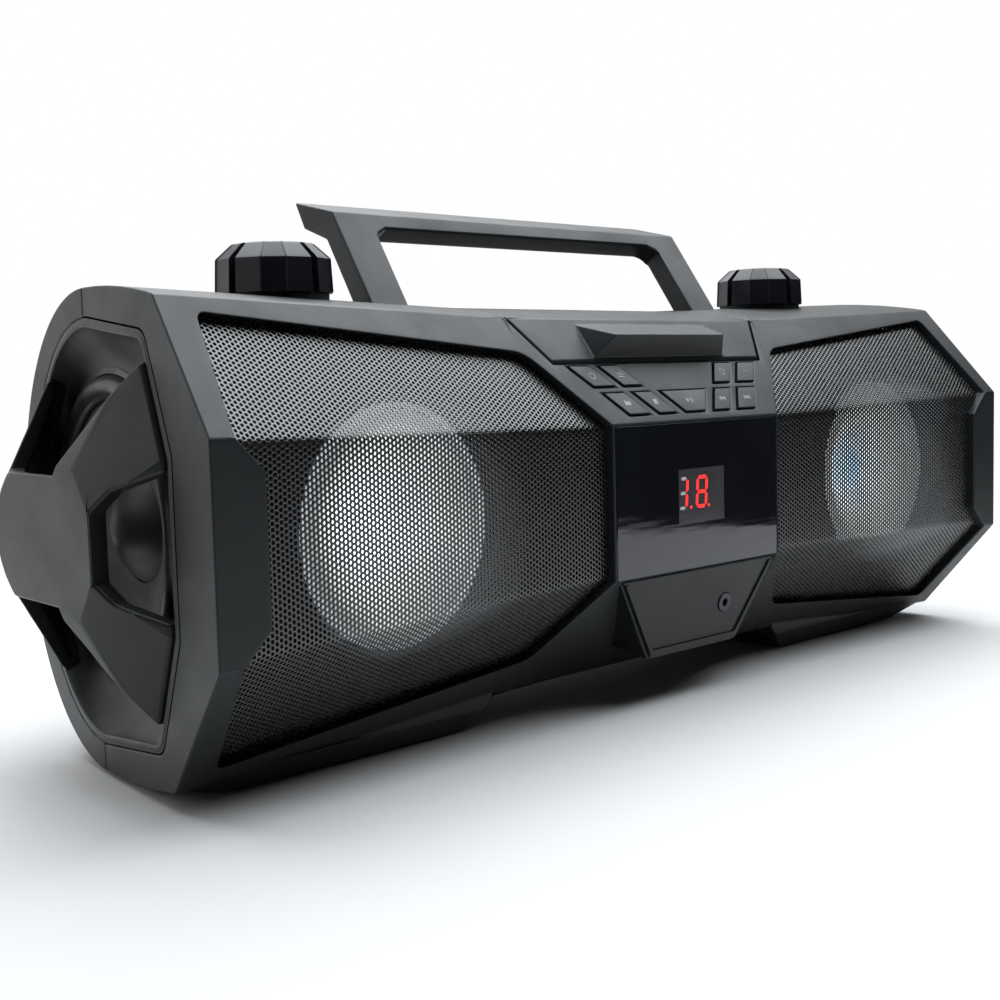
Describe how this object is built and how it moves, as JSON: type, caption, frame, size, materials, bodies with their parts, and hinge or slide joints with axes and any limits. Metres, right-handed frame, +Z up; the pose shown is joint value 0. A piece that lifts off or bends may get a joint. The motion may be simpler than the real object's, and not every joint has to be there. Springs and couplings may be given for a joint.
{
  "type": "boombox",
  "caption": "Portable stereo with folded mesh speaker faces, end radiators behind cross guards, top disc lid, two knobs, sloped keys, display and a fixed carrying handle.",
  "frame": {"origin": "middle of the bounding box at the level of the table it stands on", "axes": "+Z up, front faces -Y, +X is the listener's right"},
  "size_m": [0.5506, 0.1848, 0.231],
  "materials": {
    "cabinet_plastic": "satin fine-texture moulding",
    "inner_plastic": "matt moulding",
    "grille_steel": "black powder coat",
    "cone_paper": "matt cone",
    "rubber": "matt rubber",
    "bright_cap": "smooth dome",
    "driver_metal": "painted pressed steel",
    "light": "frosted light guide",
    "knob_plastic": "satin moulding",
    "key_plastic": "satin key",
    "gloss_panel": "polished black",
    "circuit_board": "resist-coated board",
    "panel_plastic": "satin moulding",
    "steel": "plated steel"
  },
  "bodies": {
    "cabinet": {"front_cabinet": "cabinet_plastic", "rear_cabinet": "cabinet_plastic", "handle": "cabinet_plastic", "end_guard_left": "cabinet_plastic", "end_guard_right": "cabinet_plastic", "battery_case": "inner_plastic", "cd_well": "inner_plastic", "radiator_board_left": "inner_plastic", "radiator_board_right": "inner_plastic", "grille_left": "grille_steel", "grille_right": "grille_steel", "driver_cone_left": "cone_paper", "driver_cone_right": "cone_paper", "driver_cap_left": "cone_paper", "driver_cap_right": "cone_paper", "radiator_cone_left": "cone_paper", "radiator_cone_right": "cone_paper", "foot_pads": "rubber", "driver_surround_left": "rubber", "driver_surround_right": "rubber", "radiator_surround_left": "rubber", "radiator_surround_right": "rubber", "radiator_cap_left": "bright_cap", "radiator_cap_right": "bright_cap", "driver_frame_left": "driver_metal", "driver_frame_right": "driver_metal", "driver_magnet_left": "driver_metal", "driver_magnet_right": "driver_metal", "control_left": "driver_metal", "control_right": "driver_metal", "light_ring_left": "light", "light_ring_right": "light", "display_window": "gloss_panel", "key_board": "circuit_board", "display_board": "circuit_board", "main_board": "circuit_board", "socket_panel": "panel_plastic", "power_inlet": "panel_plastic", "aerial_mount": "panel_plastic", "audio_jack": "steel", "lid_hinge_pins": "steel", "sled_rods": "steel", "spindle_motor": "steel", "cabinet_screws": "steel"},
    "volume_knob": {"volume_knob": "knob_plastic"},
    "tuning_knob": {"tuning_knob": "knob_plastic"},
    "cd_lid": {"cd_lid": "cabinet_plastic"},
    "disc_hub": {"disc_hub": "inner_plastic"},
    "laser_sled": {"laser_sled": "inner_plastic"},
    "battery_door": {"battery_door": "cabinet_plastic"},
    "aerial": {"aerial": "steel"},
    "key_power": {"key_power": "key_plastic"},
    "key_source": {"key_source": "key_plastic"},
    "key_folder": {"key_folder": "key_plastic"},
    "key_stop": {"key_stop": "key_plastic"},
    "key_play": {"key_play": "key_plastic"},
    "key_repeat": {"key_repeat": "key_plastic"},
    "key_program": {"key_program": "key_plastic"},
    "key_previous": {"key_previous": "key_plastic"},
    "key_next": {"key_next": "key_plastic"}
  },
  "joints": [
    {"name": "volume_turn", "type": "hinge", "parent": "cabinet", "child": "volume_knob", "pos_m": [-0.1682, 0.0031, 0.19], "axis": [0, 0, 1], "range_deg": [-140, 140]},
    {"name": "tuning_turn", "type": "hinge", "parent": "cabinet", "child": "tuning_knob", "pos_m": [0.1682, 0.0031, 0.19], "axis": [0, 0, 1], "range_deg": [-140, 140]},
    {"name": "lid_hinge", "type": "hinge", "parent": "cabinet", "child": "cd_lid", "pos_m": [0, 0.064, 0.1525], "axis": [-1, 0, 0], "range_deg": [0, 30]},
    {"name": "disc_spin", "type": "hinge", "parent": "cabinet", "child": "disc_hub", "pos_m": [0, 0.003, 0.146], "axis": [0, 0, 1], "continuous": true},
    {"name": "sled_slide", "type": "slide", "parent": "cabinet", "child": "laser_sled", "axis": [1, 0, 0], "range_m": [0, 0.026]},
    {"name": "battery_door_hinge", "type": "hinge", "parent": "cabinet", "child": "battery_door", "pos_m": [0, 0.0771, 0.0496], "axis": [-1, 0, 0], "range_deg": [0, 85]},
    {"name": "aerial_swing", "type": "hinge", "parent": "cabinet", "child": "aerial", "pos_m": [0.196, 0.088, 0.15], "axis": [0, 1, 0], "range_deg": [0, 120]},
    {"name": "key_power_press", "type": "slide", "parent": "cabinet", "child": "key_power", "axis": [0, 0.7926, -0.6098], "range_m": [0, 0.0008], "stiffness_N_per_m": 500},
    {"name": "key_source_press", "type": "slide", "parent": "cabinet", "child": "key_source", "axis": [0, 0.7926, -0.6098], "range_m": [0, 0.0008], "stiffness_N_per_m": 500},
    {"name": "key_folder_press", "type": "slide", "parent": "cabinet", "child": "key_folder", "axis": [0, 0.7926, -0.6098], "range_m": [0, 0.0008], "stiffness_N_per_m": 500},
    {"name": "key_stop_press", "type": "slide", "parent": "cabinet", "child": "key_stop", "axis": [0, 0.7926, -0.6098], "range_m": [0, 0.0008], "stiffness_N_per_m": 500},
    {"name": "key_play_press", "type": "slide", "parent": "cabinet", "child": "key_play", "axis": [0, 0.7926, -0.6098], "range_m": [0, 0.0008], "stiffness_N_per_m": 500},
    {"name": "key_repeat_press", "type": "slide", "parent": "cabinet", "child": "key_repeat", "axis": [0, 0.7926, -0.6098], "range_m": [0, 0.0008], "stiffness_N_per_m": 500},
    {"name": "key_program_press", "type": "slide", "parent": "cabinet", "child": "key_program", "axis": [0, 0.7926, -0.6098], "range_m": [0, 0.0008], "stiffness_N_per_m": 500},
    {"name": "key_previous_press", "type": "slide", "parent": "cabinet", "child": "key_previous", "axis": [0, 0.7926, -0.6098], "range_m": [0, 0.0008], "stiffness_N_per_m": 500},
    {"name": "key_next_press", "type": "slide", "parent": "cabinet", "child": "key_next", "axis": [0, 0.7926, -0.6098], "range_m": [0, 0.0008], "stiffness_N_per_m": 500}
  ]
}
